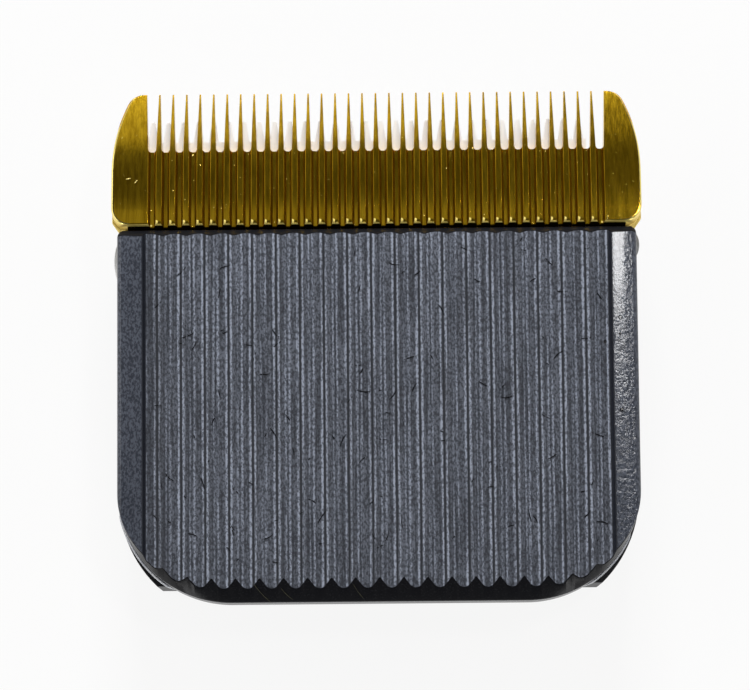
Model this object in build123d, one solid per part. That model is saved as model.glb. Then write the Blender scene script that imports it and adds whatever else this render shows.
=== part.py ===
from build123d import *
import math
import os

# Clip-on blade set of a hair clipper, lying on its back with the ribbed face up.
# X runs along the row of teeth, +Y from the heel to the tooth tips, +Z out of the ribbed face.
# The origin is the bottom centre of the set. Lengths are in millimetres, angles in degrees.

# Comb blade: needle teeth between two end tabs, a grooved face and a tail behind the cover
TOOTH_COUNT = 33
TOOTH_PITCH = 1.25
TOOTH_LENGTH = 5.60
TOOTH_TIP_WIDTH = 0.14
TOOTH_ROOT_WIDTH = 0.50
TOOTH_TIP_THICKNESS = 0.35
TAB_WIDTH = 3.18
TAB_FLAT = 0.25
TAB_NOSE_RADIUS = 1.60
TAB_NOSE_TURN = 65.0
TAB_CORNER_RADIUS = 1.70
TAB_EDGE_CHAMFER = 0.16
FACE_LENGTH = 12.45
FACE_RAISE = 1.35
FACE_STEP = 0.55
FACE_CROWN = 0.45
FACE_BEVEL_RUN = 0.45
SLOT_CHAMFER = 0.225
GROOVE_WIDTH = 0.75
GROOVE_FLOOR = 0.30
GROOVE_DEPTH = 0.50
RELIEF_WIDTH = 4.0
RELIEF_DEPTH = 0.25
TAIL_THICKNESS = 1.20
TAIL_EDGE = 3.0
TAIL_CORNER_RADIUS = 1.50
TAIL_SIDE_GAP = 0.30
SHOULDER_RISE = 0.75
SHOULDER_SLANT = 55.0

# Front cover: ribbed shallow tray with plain side margins and a round heel
COVER_LENGTH = 34.30
COVER_INSET = 0.56
COVER_WALL = 1.55
COVER_RIM = 1.50
COVER_COMB_GAP = 0.10
RIB_PITCH = 2.175
RIB_HEIGHT = 0.45
RIB_ROUNDING = 0.835
RIB_CREST_SHARE = 0.14
MARGIN_WIDTH = 2.60
MARGIN_STEP_RUN = 0.25
MARGIN_FALL = 0.22
MARGIN_EDGE_RADIUS = 0.55
HEEL_RADIUS = 10.40
HEEL_FACE_RADIUS = 8.10
HEEL_BEVEL_RUN = 2.18
TOP_CORNER_RADIUS = 0.60
TOP_BEVEL_RUN = 0.65
END_BEVEL_FALL = 1.07

# Rear frame: flange behind the cover, with a skirt, side cheeks, heel hook and catches
FRAME_DEPTH = 7.00
FLANGE_THICKNESS = 1.80
FRAME_WALL = 1.20
FRAME_HEEL_INSET = 1.75
FRAME_CORNER_RADIUS = 11.40
FRAME_CORNER_REACH = 1.45
FRAME_EDGE_CHAMFER = 0.35
CHEEK_SETBACK = 8.50
CHEEK_NOSE = 3.0
CHEEK_SLOPE_RUN = 3.2
LEFT_EAR_LENGTH = 4.20
LEFT_EAR_DROP = 2.60
RIGHT_EAR_LENGTH = 2.60
RIGHT_EAR_DROP = 1.40
EAR_PROUD = 0.45
EAR_HEIGHT = 2.20
HOOK_WIDTH = 14.0
HOOK_REACH = 2.20
HOOK_LIP = 1.50
CATCH_LENGTH = 6.0
CATCH_HEIGHT = 2.40
CATCH_LIFT = 2.20
CATCH_SETBACK = 13.0
STIFFENER_GAP = 1.20
STIFFENER_WIDTH = 1.0
STIFFENER_HEIGHT = 1.60
STIFFENER_END_GAP = 3.0

# Cutter blade: ceramic plate whose teeth run behind the comb
CUTTER_PITCH_RATIO = 9 / 8
CUTTER_SETBACK = 2.50
CUTTER_LENGTH = 12.60
CUTTER_THICKNESS = 1.50
CUTTER_TOOTH_LENGTH = 1.90
CUTTER_TIP_WIDTH = 0.30
CUTTER_VALLEY_WIDTH = 0.45
CUTTER_TIP_THICKNESS = 0.45
CUTTER_BEVEL_LENGTH = 3.20
CUTTER_STROKE = 2.80
CUTTER_REST_X = -0.936
CUTTER_END_GAP = 0.30
CUTTER_REAR_GAP = 0.60
RUNNING_GAP = 0.02

# Cutter carriage: drive follower on the cutter's back
CARRIAGE_INSET = 5.40
CARRIAGE_WIDTH = 5.80
CARRIAGE_PLATE = 1.40
CARRIAGE_CORNER_RADIUS = 1.0
CARRIAGE_SETBACK = 0.55
FORK_SLOT = 5.0
FORK_WALL = 1.80
FORK_RECESS = 1.40
FORK_LEAD_IN = 0.50
PEG_INSET = 4.20
PEG_LENGTH = 2.60
PEG_WIDTH = 1.60
PEG_FIT_GAP = 0.05

# Tension spring: stamped leaf, screwed to the flange, whose two arms press on the carriage
SPRING_THICKNESS = 0.45
SPRING_ARM_INSET = 4.0
SPRING_ARM_WIDTH = 2.40
SPRING_BASE_WIDTH = 4.60
SPRING_BASE_DROP = 19.0
SPRING_KNEE_GAP = 0.60
SPRING_TOE_SETBACK = 1.70
SPRING_TOE_RUN = 0.80
SPRING_TOE_FALL = 0.55
SPRING_SEAT_GAP = 0.05
SPRING_BOSS_RADIUS = 2.40
SPRING_BOSS_GAP = 0.10

# Fasteners
COMB_SCREW_RADIUS = 1.25
COMB_SCREW_HEAD_RADIUS = 2.30
COMB_SCREW_HEAD_HEIGHT = 1.50
COMB_SCREW_SIDE_INSET = 4.60
COMB_SCREW_DROP = 3.30
COVER_SCREW_RADIUS = 1.0
COVER_SCREW_HEAD_RADIUS = 2.0
COVER_SCREW_HEAD_HEIGHT = 1.30
COVER_SCREW_SIDE_INSET = 5.20
COVER_SCREW_HEEL_INSET = 9.40
COVER_SCREW_FLOOR = 0.70
BOSS_RADIUS = 2.40
SCREW_HOLE_GAP = 0.20
THREAD_GAP = 0.05

# Heights, from the rest plane up
seat_z = FRAME_DEPTH + FLANGE_THICKNESS
tail_z = seat_z + TAIL_THICKNESS
valley_z = tail_z + COVER_WALL
crest_z = valley_z + RIB_HEIGHT
bevel_z = crest_z - END_BEVEL_FALL
face_low_z = tail_z + FACE_RAISE
cutter_top_z = seat_z - RUNNING_GAP
cutter_back_z = cutter_top_z - CUTTER_THICKNESS
carriage_back_z = cutter_back_z - CARRIAGE_PLATE
spring_toe_z = carriage_back_z - SPRING_SEAT_GAP

# Stations along Y, from the heel to the tips, with the middle of the set at zero
tip_y = (FACE_LENGTH + FACE_BEVEL_RUN + COVER_COMB_GAP + COVER_LENGTH) / 2
root_y = tip_y - TOOTH_LENGTH
face_low_y = tip_y - FACE_LENGTH
comb_low_y = face_low_y - FACE_BEVEL_RUN
cover_top_y = comb_low_y - COVER_COMB_GAP
heel_y = cover_top_y - COVER_LENGTH
shoulder_y = comb_low_y + SHOULDER_RISE
cutter_tip_y = tip_y - CUTTER_SETBACK
cutter_rear_y = cutter_tip_y - CUTTER_LENGTH
flange_top_y = cutter_rear_y - CUTTER_REAR_GAP
cheek_top_y = tip_y - CHEEK_SETBACK
frame_heel_y = heel_y + FRAME_HEEL_INSET
carriage_y = cutter_rear_y + CARRIAGE_SETBACK + CARRIAGE_WIDTH / 2
spring_y = carriage_y - SPRING_BASE_DROP
comb_screw_y = flange_top_y - COMB_SCREW_DROP
tail_end_y = comb_screw_y - TAIL_EDGE
cover_screw_y = heel_y + COVER_SCREW_HEEL_INSET

# Half widths along X
slot_edge_x = (TOOTH_COUNT + 1) / 2 * TOOTH_PITCH - TOOTH_TIP_WIDTH / 2
comb_half = slot_edge_x + TAB_WIDTH
cover_half = comb_half - COVER_INSET
tail_half = cover_half - COVER_RIM - TAIL_SIDE_GAP
frame_inner = cover_half - FRAME_WALL
cutter_pitch = TOOTH_PITCH * CUTTER_PITCH_RATIO
cutter_reach = frame_inner - CUTTER_STROKE / 2 - CUTTER_END_GAP
cutter_teeth = 2 * math.floor((2 * cutter_reach / cutter_pitch - 1) / 2) + 1
cutter_half = cutter_teeth * cutter_pitch / 2
carriage_half = cutter_half - CARRIAGE_INSET
peg_x = carriage_half - PEG_INSET
comb_screw_x = tail_half - COMB_SCREW_SIDE_INSET
cover_screw_x = cover_half - COVER_RIM - COVER_SCREW_SIDE_INSET
stiffener_x = comb_screw_x - COMB_SCREW_HEAD_RADIUS - STIFFENER_GAP - STIFFENER_WIDTH / 2
spring_arm_x = stiffener_x - SPRING_ARM_INSET
cover_screw_bite = TAIL_THICKNESS + COVER_WALL - COVER_SCREW_FLOOR

UP = (0, 0, 1)
STAND = (Align.CENTER, Align.CENTER, Align.MIN)
HANG = (Align.CENTER, Align.CENTER, Align.MAX)


def slab(sketch, low, high):
    """Straight extrusion of an XY sketch from one height to another."""
    return extrude(Pos(0, 0, low) * sketch, high - low, dir=UP)


def symmetric_face(right_half):
    """Face whose outline is the given right half, from Y axis to Y axis, and its mirror image."""
    half = Curve() + right_half
    return make_face((half + mirror(half, Plane.YZ)).edges())


def along_x(outline, half_length):
    """Extrusion along X, to both sides, of an outline given as edges in (Y, Z)."""
    return extrude(Plane.YZ * make_face(outline), half_length, both=True)


def block(x, y, z):
    """Box between the given ranges along X, Y and Z."""
    size = [high - low for low, high in (x, y, z)]
    middle = [(high + low) / 2 for low, high in (x, y, z)]
    return Pos(*middle) * Box(*size)


def comb_contour():
    """Right half of the comb's upper contour: straight tip line, round nose and flared side."""
    nose = JernArc((slot_edge_x + TAB_FLAT, tip_y), (1, 0), TAB_NOSE_RADIUS, -TAB_NOSE_TURN)
    turn_left = 90 - TAB_NOSE_TURN
    flare_radius = (comb_half - (nose @ 1).X) / (1 - math.cos(math.radians(turn_left)))
    flare = JernArc(nose @ 1, nose % 1, flare_radius, -turn_left)
    return [Line((0, tip_y), nose @ 0), nose, flare]


def comb_head_sketch():
    """Plan of the comb's raised face, with a round lower corner on each tab."""
    contour = comb_contour()
    side = Line(contour[-1] @ 1, (comb_half, comb_low_y + TAB_CORNER_RADIUS))
    corner = JernArc(side @ 1, (0, -1), TAB_CORNER_RADIUS, -90)
    return symmetric_face([*contour, side, corner, Line(corner @ 1, (0, comb_low_y))])


def comb_base_sketch():
    """Plan of the comb's thin base: slanted shoulders and the tail that reaches behind the cover."""
    contour = comb_contour()
    shoulder_low_y = shoulder_y - (comb_half - tail_half) * math.tan(math.radians(SHOULDER_SLANT))
    side = Line(contour[-1] @ 1, (comb_half, shoulder_y))
    shoulder = Line(side @ 1, (tail_half, shoulder_low_y))
    edge = Line(shoulder @ 1, (tail_half, tail_end_y + TAIL_CORNER_RADIUS))
    corner = JernArc(edge @ 1, (0, -1), TAIL_CORNER_RADIUS, -90)
    return symmetric_face([*contour, side, shoulder, edge, corner, Line(corner @ 1, (0, tail_end_y))])


def comb_face_arc():
    """The comb's crowned face in side view, from the tooth tips to its lower edge."""
    tip = Vector(tip_y, seat_z + TOOTH_TIP_THICKNESS)
    low = Vector(face_low_y, face_low_z)
    return SagittaArc(tip, low, -FACE_CROWN)


def comb_side_outline():
    """Side view of the comb: flat back, crowned face, lower bevel and thin tail."""
    face = comb_face_arc()
    bevel = Line(face @ 1, (comb_low_y, tail_z + FACE_STEP))
    rest = Polyline(
        bevel @ 1,
        (comb_low_y, tail_z),
        (tail_end_y, tail_z),
        (tail_end_y, seat_z),
        (tip_y, seat_z),
        face @ 0,
    )
    return [face, bevel, *rest.edges()]


def tooth_slots():
    """Through slots between the needle teeth: tapered, with a bevel-cornered root."""
    root_half = (TOOTH_PITCH - TOOTH_ROOT_WIDTH) / 2
    tip_half = (TOOTH_PITCH - TOOTH_TIP_WIDTH) / 2
    wall_y = root_y + SLOT_CHAMFER
    mouth_y = tip_y + TOOTH_PITCH
    mouth_half = root_half + (tip_half - root_half) * (mouth_y - wall_y) / (tip_y - wall_y)
    right = [(root_half - SLOT_CHAMFER, root_y), (root_half, wall_y), (mouth_half, mouth_y)]
    left = [(-x, y) for x, y in reversed(right)]
    outline = Polyline(*right, *left, close=True)
    slot = slab(make_face(outline.edges()), seat_z - TAIL_THICKNESS, face_low_z + FACE_RAISE)
    return [Pos(x, 0, 0) * slot for x in slot_places()]


def slot_places():
    """X of every gap: one between each pair of teeth and one beside each tab."""
    count = TOOTH_COUNT + 1
    return [(i - (count - 1) / 2) * TOOTH_PITCH for i in range(count)]


def face_grooves():
    """V grooves with a narrow floor that carry the tooth gaps straight on to the face's lower edge."""
    arc = comb_face_arc()
    centre = arc.arc_center
    low = arc @ 1
    top = Vector(root_y, centre.Y + math.sqrt(arc.radius ** 2 - (root_y - centre.X) ** 2))
    run = low - top
    along = run.normalized()
    start = top - along * SLOT_CHAMFER
    mouth_half = GROOVE_WIDTH - GROOVE_FLOOR / 2
    outline = Polyline((GROOVE_FLOOR / 2, -GROOVE_DEPTH), (mouth_half, GROOVE_DEPTH),
                       (-mouth_half, GROOVE_DEPTH), (-GROOVE_FLOOR / 2, -GROOVE_DEPTH), close=True)
    plane = Plane(origin=(0, start.X, start.Y), x_dir=(1, 0, 0), z_dir=(0, along.X, along.Y))
    groove = extrude(plane * make_face(outline.edges()), run.length + 3 * GROOVE_WIDTH, dir=plane.z_dir)
    return [Pos(x, 0, 0) * groove for x in slot_places()]


def comb_blade():
    """Hard-coated steel comb: crowned head with teeth and grooves, thin base and tapped tail."""
    body = along_x(comb_side_outline(), comb_half)
    head = body & slab(comb_head_sketch(), tail_z, face_low_z + FACE_CROWN)
    base = body & slab(comb_base_sketch(), seat_z, tail_z)
    comb = head + base
    crown = max(comb.faces().filter_by(GeomType.CYLINDER), key=lambda face: face.area)
    rim = [edge for edge in crown.edges() if abs((edge @ 0.5).X) > slot_edge_x]
    comb = chamfer(rim, TAB_EDGE_CHAMFER)
    relief_top = root_y - GROOVE_WIDTH
    comb -= block((-slot_edge_x, slot_edge_x), (relief_top - RELIEF_WIDTH, relief_top),
                  (seat_z - RELIEF_DEPTH, seat_z + RELIEF_DEPTH))
    comb -= tooth_slots()
    comb -= face_grooves()
    hole = Cylinder(COMB_SCREW_RADIUS + THREAD_GAP, TAIL_THICKNESS, align=STAND)
    comb -= [Pos(side * comb_screw_x, comb_screw_y, seat_z) * hole for side in (-1, 1)]
    return comb


def cover_sketch(top_inset=0.0, heel_inset=0.0, heel_radius=HEEL_RADIUS):
    """Plan of the cover: square shoulders and a large round on each side of the heel."""
    top = cover_top_y - top_inset
    heel = heel_y + heel_inset
    shoulder = JernArc((cover_half - TOP_CORNER_RADIUS, top), (1, 0), TOP_CORNER_RADIUS, -90)
    round_start = (cover_half, heel + heel_radius)
    heel_round = JernArc(round_start, (0, -1), heel_radius, -90)
    return symmetric_face([
        Line((0, top), shoulder @ 0),
        shoulder,
        Line(shoulder @ 1, round_start),
        heel_round,
        Line(heel_round @ 1, (0, heel)),
    ])


def rib_wave():
    """Edges of the ribbed face in (X, Z) from margin to margin, and where its last valley lies."""
    half_pitch = RIB_PITCH / 2
    radii = RIB_ROUNDING * (half_pitch ** 2 + RIB_HEIGHT ** 2) / (2 * RIB_HEIGHT)
    flank = math.sqrt(half_pitch ** 2 + (radii - RIB_HEIGHT) ** 2 - radii ** 2)
    angle = math.atan2(half_pitch, radii - RIB_HEIGHT) - math.atan2(flank, radii)
    crest_radius = RIB_CREST_SHARE * radii
    valley_radius = radii - crest_radius
    crest_run = crest_radius * math.sin(angle)
    crest_fall = crest_radius * (1 - math.cos(angle))
    valley_run = valley_radius * math.sin(angle)
    valley_rise = valley_radius * (1 - math.cos(angle))
    field_half = cover_half - MARGIN_WIDTH
    ribs_each_side = math.floor((field_half - MARGIN_STEP_RUN) / RIB_PITCH - 0.5)
    edges = []
    for rib in range(-ribs_each_side, ribs_each_side + 1):
        x = rib * RIB_PITCH
        valley_in = (x - half_pitch, valley_z)
        valley_out = (x + half_pitch, valley_z)
        foot_in = (x - half_pitch + valley_run, valley_z + valley_rise)
        foot_out = (x + half_pitch - valley_run, valley_z + valley_rise)
        edge_in = (x - crest_run, crest_z - crest_fall)
        edge_out = (x + crest_run, crest_z - crest_fall)
        edges.append(TangentArc(valley_in, foot_in, tangent=(1, 0)))
        edges.append(Line(foot_in, edge_in))
        edges.append(ThreePointArc(edge_in, (x, crest_z), edge_out))
        edges.append(Line(edge_out, foot_out))
        edges.append(TangentArc(valley_out, foot_out, tangent=(-1, 0)))
    return edges, (ribs_each_side + 0.5) * RIB_PITCH


def margin_edges(valley_x, side, ceiling):
    """Edges from the last valley over one plain margin and its rounded outer edge, in (X, Z)."""
    step_x = cover_half - MARGIN_WIDTH
    round_x = cover_half - MARGIN_EDGE_RADIUS
    edge_z = crest_z - MARGIN_FALL
    step = Polyline(
        (side * valley_x, valley_z),
        (side * step_x, valley_z),
        (side * (step_x + MARGIN_STEP_RUN), crest_z),
        (side * round_x, edge_z),
    )
    turn = ThreePointArc(
        (side * round_x, edge_z),
        (side * (cover_half - MARGIN_EDGE_RADIUS * (1 - math.sqrt(0.5))),
         edge_z - MARGIN_EDGE_RADIUS * (1 - math.sqrt(0.5))),
        (side * cover_half, edge_z - MARGIN_EDGE_RADIUS),
    )
    wall = Polyline(turn @ 1, (side * (cover_half + COVER_RIM), edge_z - MARGIN_EDGE_RADIUS),
                    (side * (cover_half + COVER_RIM), ceiling))
    return [*step.edges(), turn, *wall.edges()]


def above_ribs():
    """Everything above the ribbed face, as a tool that cuts the ribs and margins along Y."""
    ceiling = crest_z + RIB_PITCH
    wave, valley_x = rib_wave()
    left = margin_edges(valley_x, -1, ceiling)
    right = margin_edges(valley_x, 1, ceiling)
    lid = Line((-cover_half - COVER_RIM, ceiling), (cover_half + COVER_RIM, ceiling))
    region = Plane.XZ * make_face([*left, *wave, *right, lid])
    return extrude(region, COVER_LENGTH + FACE_LENGTH, both=True)


def front_cover():
    """Ribbed face moulding: bevelled ends, a pocket for the comb's tail, and two screw bosses."""
    cover = slab(cover_sketch(), seat_z, bevel_z)
    low = Pos(0, 0, bevel_z) * cover_sketch()
    high = Pos(0, 0, crest_z) * cover_sketch(TOP_BEVEL_RUN, HEEL_BEVEL_RUN, HEEL_FACE_RADIUS)
    cover += loft([low, high], ruled=True)
    cover -= above_ribs()
    cover -= slab(offset(cover_sketch(), -COVER_RIM), seat_z, tail_z)
    cover -= slab(offset(comb_base_sketch(), TAIL_SIDE_GAP), seat_z, tail_z)
    boss = Cylinder(BOSS_RADIUS, tail_z - seat_z, align=STAND)
    pilot = Cylinder(COVER_SCREW_RADIUS + THREAD_GAP, cover_screw_bite + THREAD_GAP, align=STAND)
    for side in (-1, 1):
        place = Pos(side * cover_screw_x, cover_screw_y, seat_z)
        cover += place * boss
        cover -= place * pilot
    return cover


def frame_sketch():
    """Plan of the rear frame: as wide as the cover, with fuller heel corners cut off by a straight heel."""
    centre_y = heel_y - FRAME_CORNER_REACH + FRAME_CORNER_RADIUS
    centre_x = cover_half - FRAME_CORNER_RADIUS
    cut_x = centre_x + math.sqrt(FRAME_CORNER_RADIUS ** 2 - (centre_y - frame_heel_y) ** 2)
    corner = TangentArc((cover_half, centre_y), (cut_x, frame_heel_y), tangent=(0, -1))
    return symmetric_face([
        Line((0, flange_top_y), (cover_half, flange_top_y)),
        Line((cover_half, flange_top_y), corner @ 0),
        corner,
        Line(corner @ 1, (0, frame_heel_y)),
    ])


def frame_ear(side, length, drop):
    """Low round ear on the outside of one cheek, near the cover's upper end."""
    middle = cover_top_y - drop
    low = (side * cover_half, middle - length / 2)
    peak = (side * (cover_half + EAR_PROUD), middle)
    high = (side * cover_half, middle + length / 2)
    bump = make_face([ThreePointArc(low, peak, high), Line(high, low)])
    return slab(bump, seat_z - EAR_HEIGHT, seat_z)


def rear_frame():
    """Rear moulding: flange, skirt open towards the teeth, cheeks, ears, heel hook and spring boss."""
    outline = frame_sketch()
    frame = slab(outline, 0, seat_z)
    cheek_view = Polyline(
        (flange_top_y, 0),
        (cheek_top_y - CHEEK_SLOPE_RUN, 0),
        (cheek_top_y, seat_z - CHEEK_NOSE),
        (cheek_top_y, seat_z),
        (flange_top_y, seat_z),
        close=True,
    )
    cheek = extrude(Plane.YZ * make_face(cheek_view.edges()), FRAME_WALL / 2, both=True)
    frame += [Pos(side * (cover_half - FRAME_WALL / 2), 0, 0) * cheek for side in (-1, 1)]
    frame = chamfer(frame.edges().group_by(Axis.Z)[0], FRAME_EDGE_CHAMFER)
    mouth = Pos(0, flange_top_y) * Rectangle(2 * frame_inner, 4 * FRAME_WALL)
    frame -= slab(offset(outline, -FRAME_WALL) + mouth, 0, FRAME_DEPTH)
    catch_y = flange_top_y - CATCH_SETBACK
    frame += frame_ear(-1, LEFT_EAR_LENGTH, LEFT_EAR_DROP)
    frame += frame_ear(1, RIGHT_EAR_LENGTH, RIGHT_EAR_DROP)
    for side in (-1, 1):
        frame -= block(sorted((side * (frame_inner - FRAME_WALL), side * (cover_half + FRAME_WALL))),
                       (catch_y - CATCH_LENGTH / 2, catch_y + CATCH_LENGTH / 2),
                       (CATCH_LIFT, CATCH_LIFT + CATCH_HEIGHT))
        frame += block((side * stiffener_x - STIFFENER_WIDTH / 2, side * stiffener_x + STIFFENER_WIDTH / 2),
                       (frame_heel_y + FRAME_WALL, flange_top_y - STIFFENER_END_GAP),
                       (FRAME_DEPTH - STIFFENER_HEIGHT, FRAME_DEPTH))
    boss = Cylinder(SPRING_BOSS_RADIUS, TAIL_THICKNESS - SPRING_BOSS_GAP, align=STAND)
    frame += Pos(0, spring_y, seat_z) * boss
    hook_y = frame_heel_y + FRAME_WALL
    frame += block((-HOOK_WIDTH / 2, HOOK_WIDTH / 2), (hook_y, hook_y + HOOK_REACH), (0, HOOK_LIP))
    for x, y, radius in ((comb_screw_x, comb_screw_y, COMB_SCREW_RADIUS),
                         (cover_screw_x, cover_screw_y, COVER_SCREW_RADIUS)):
        hole = Cylinder(radius + SCREW_HOLE_GAP, FLANGE_THICKNESS, align=STAND)
        frame -= [Pos(side * x, y, FRAME_DEPTH) * hole for side in (-1, 1)]
    pilot = Cylinder(COVER_SCREW_RADIUS + THREAD_GAP, FLANGE_THICKNESS + TAIL_THICKNESS, align=STAND)
    frame -= Pos(0, spring_y, FRAME_DEPTH) * pilot
    return frame


def cutter_blade():
    """White ceramic cutter: flat top, bevelled back edge, ground V gaps and two peg windows."""
    side_view = Polyline(
        (cutter_rear_y, cutter_top_z),
        (cutter_tip_y, cutter_top_z),
        (cutter_tip_y, cutter_top_z - CUTTER_TIP_THICKNESS),
        (cutter_tip_y - CUTTER_BEVEL_LENGTH, cutter_back_z),
        (cutter_rear_y, cutter_back_z),
        close=True,
    )
    cutter = along_x(side_view.edges(), cutter_half)
    valley_y = cutter_tip_y - CUTTER_TOOTH_LENGTH
    valley_half = CUTTER_VALLEY_WIDTH / 2
    tip_half = (cutter_pitch - CUTTER_TIP_WIDTH) / 2
    mouth_half = 2 * tip_half - valley_half
    mouth_y = cutter_tip_y + CUTTER_TOOTH_LENGTH
    gap_view = Polyline((valley_half, valley_y), (mouth_half, mouth_y), (-mouth_half, mouth_y),
                        (-valley_half, valley_y), close=True)
    gap = slab(make_face(gap_view.edges()), cutter_back_z - CUTTER_THICKNESS,
               cutter_top_z + CUTTER_THICKNESS)
    cutter -= [Pos((i - cutter_teeth / 2) * cutter_pitch, 0, 0) * gap for i in range(cutter_teeth + 1)]
    window = Box(PEG_LENGTH + 2 * PEG_FIT_GAP, PEG_WIDTH + 2 * PEG_FIT_GAP, CUTTER_THICKNESS, align=STAND)
    cutter -= [Pos(side * peg_x, carriage_y, cutter_back_z) * window for side in (-1, 1)]
    return Pos(CUTTER_REST_X, 0, 0) * cutter


def cutter_carriage():
    """Drive follower: plate on the cutter's back, two oblong pegs into it, and a fork for the drive pin."""
    plate = Pos(0, carriage_y) * RectangleRounded(2 * carriage_half, CARRIAGE_WIDTH, CARRIAGE_CORNER_RADIUS)
    carriage = slab(plate, carriage_back_z, cutter_back_z)
    slot_half = FORK_SLOT / 2
    for side in (-1, 1):
        fork_view = Polyline(
            (side * slot_half, carriage_back_z),
            (side * slot_half, FORK_RECESS + FORK_LEAD_IN),
            (side * (slot_half + FORK_LEAD_IN), FORK_RECESS),
            (side * (slot_half + FORK_WALL), FORK_RECESS),
            (side * (slot_half + FORK_WALL), carriage_back_z),
            close=True,
        )
        fork = extrude(Plane.XZ * make_face(fork_view.edges()), CARRIAGE_WIDTH / 2, both=True)
        carriage += Pos(0, carriage_y, 0) * fork
        peg = Box(PEG_LENGTH, PEG_WIDTH, CUTTER_THICKNESS - PEG_FIT_GAP, align=STAND)
        carriage += Pos(side * peg_x, carriage_y, cutter_back_z) * peg
    return Pos(CUTTER_REST_X, 0, 0) * carriage


def tension_spring():
    """Stamped leaf spring: a cross strip under its screw and two arms that end in turned-away toes."""
    base_end_y = spring_y + SPRING_BASE_WIDTH / 2
    contact_y = carriage_y - CARRIAGE_WIDTH / 2 - SPRING_KNEE_GAP
    toe_y = carriage_y + CARRIAGE_WIDTH / 2 - SPRING_TOE_SETBACK
    upper = [
        (spring_y - SPRING_BASE_WIDTH / 2, FRAME_DEPTH),
        (base_end_y, FRAME_DEPTH),
        (contact_y, spring_toe_z),
        (toe_y, spring_toe_z),
        (toe_y + SPRING_TOE_RUN, spring_toe_z - SPRING_TOE_FALL),
    ]
    lower = [(y, z - SPRING_THICKNESS) for y, z in reversed(upper)]
    arm = along_x(Polyline(*upper, *lower, close=True).edges(), SPRING_ARM_WIDTH / 2)
    reach = spring_arm_x + SPRING_ARM_WIDTH / 2
    spring = block((-reach, reach), (spring_y - SPRING_BASE_WIDTH / 2, base_end_y),
                   (FRAME_DEPTH - SPRING_THICKNESS, FRAME_DEPTH))
    spring += [Pos(side * spring_arm_x, 0, 0) * arm for side in (-1, 1)]
    hole = Cylinder(COVER_SCREW_RADIUS + SCREW_HOLE_GAP, SPRING_THICKNESS, align=STAND)
    return spring - Pos(0, spring_y, FRAME_DEPTH - SPRING_THICKNESS) * hole


def pan_screw(head_radius, head_height, shank_radius, shank_length):
    """Flat-headed screw: head under the XY plane, shank above it."""
    head = Cylinder(head_radius, head_height, align=HANG)
    return head + Cylinder(shank_radius, shank_length, align=STAND)


def pair(shape, x, y, z):
    """Two copies of a shape, mirrored about the middle plane, as one group."""
    return Compound([Pos(side * x, y, z) * shape for side in (-1, 1)])


def comb_screws():
    """Machine screws that clamp the comb's tail to the flange."""
    shank = FLANGE_THICKNESS + TAIL_THICKNESS
    screw = pan_screw(COMB_SCREW_HEAD_RADIUS, COMB_SCREW_HEAD_HEIGHT, COMB_SCREW_RADIUS, shank)
    return pair(screw, comb_screw_x, comb_screw_y, FRAME_DEPTH)


def cover_screws():
    """Self-tapping screws that hold the cover's bosses to the flange."""
    shank = FLANGE_THICKNESS + cover_screw_bite
    screw = pan_screw(COVER_SCREW_HEAD_RADIUS, COVER_SCREW_HEAD_HEIGHT, COVER_SCREW_RADIUS, shank)
    return pair(screw, cover_screw_x, cover_screw_y, FRAME_DEPTH)


def spring_screw():
    """Self-tapping screw that clamps the leaf spring to the flange's boss."""
    shank = SPRING_THICKNESS + FLANGE_THICKNESS + TAIL_THICKNESS - SPRING_BOSS_GAP
    screw = pan_screw(COVER_SCREW_HEAD_RADIUS, COVER_SCREW_HEAD_HEIGHT, COVER_SCREW_RADIUS, shank)
    return Pos(0, spring_y, FRAME_DEPTH - SPRING_THICKNESS) * screw


PIECES = (
    front_cover,
    rear_frame,
    comb_blade,
    cutter_blade,
    cutter_carriage,
    tension_spring,
    comb_screws,
    cover_screws,
    spring_screw,
)

os.makedirs("parts", exist_ok=True)
for piece in PIECES:
    export_step(piece(), f"parts/{piece.__name__}.step")
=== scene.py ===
import math
import random

import bmesh
import bpy
from mathutils import Matrix, Vector


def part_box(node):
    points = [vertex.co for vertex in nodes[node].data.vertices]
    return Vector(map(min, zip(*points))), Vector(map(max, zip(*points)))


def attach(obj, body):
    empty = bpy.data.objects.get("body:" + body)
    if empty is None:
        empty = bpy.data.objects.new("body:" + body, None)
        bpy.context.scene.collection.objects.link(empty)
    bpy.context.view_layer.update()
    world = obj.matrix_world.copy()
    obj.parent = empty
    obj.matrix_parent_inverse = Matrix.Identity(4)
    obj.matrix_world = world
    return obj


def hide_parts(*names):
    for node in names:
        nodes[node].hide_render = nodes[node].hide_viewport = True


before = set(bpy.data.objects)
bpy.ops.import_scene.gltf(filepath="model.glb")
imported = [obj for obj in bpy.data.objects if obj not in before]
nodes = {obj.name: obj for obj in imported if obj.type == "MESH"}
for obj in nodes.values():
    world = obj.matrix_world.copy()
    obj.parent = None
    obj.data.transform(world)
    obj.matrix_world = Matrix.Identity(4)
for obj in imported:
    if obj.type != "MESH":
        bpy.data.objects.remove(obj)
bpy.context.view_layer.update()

# Rear frame
# The moulded back of the set: a flange with a skirt that plugs on to the clipper's head, side ears, a heel
# hook and catch windows. It is black glass-filled nylon, left as it came from the tool, with a fine texture;
# dust lies on top of its ears, with a painted highlight that is stronger on the left ear.
mm = 0.001
frame_black = (0.010, 0.010, 0.011, 1)
frame_grey = (0.026, 0.026, 0.028, 1)
ear_dust_and_highlight = (0.85, 0.85, 0.83, 1)
ear_pale_x = 23.85
ear_pale_fade = 0.1
frame_edge = 0.12


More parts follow.
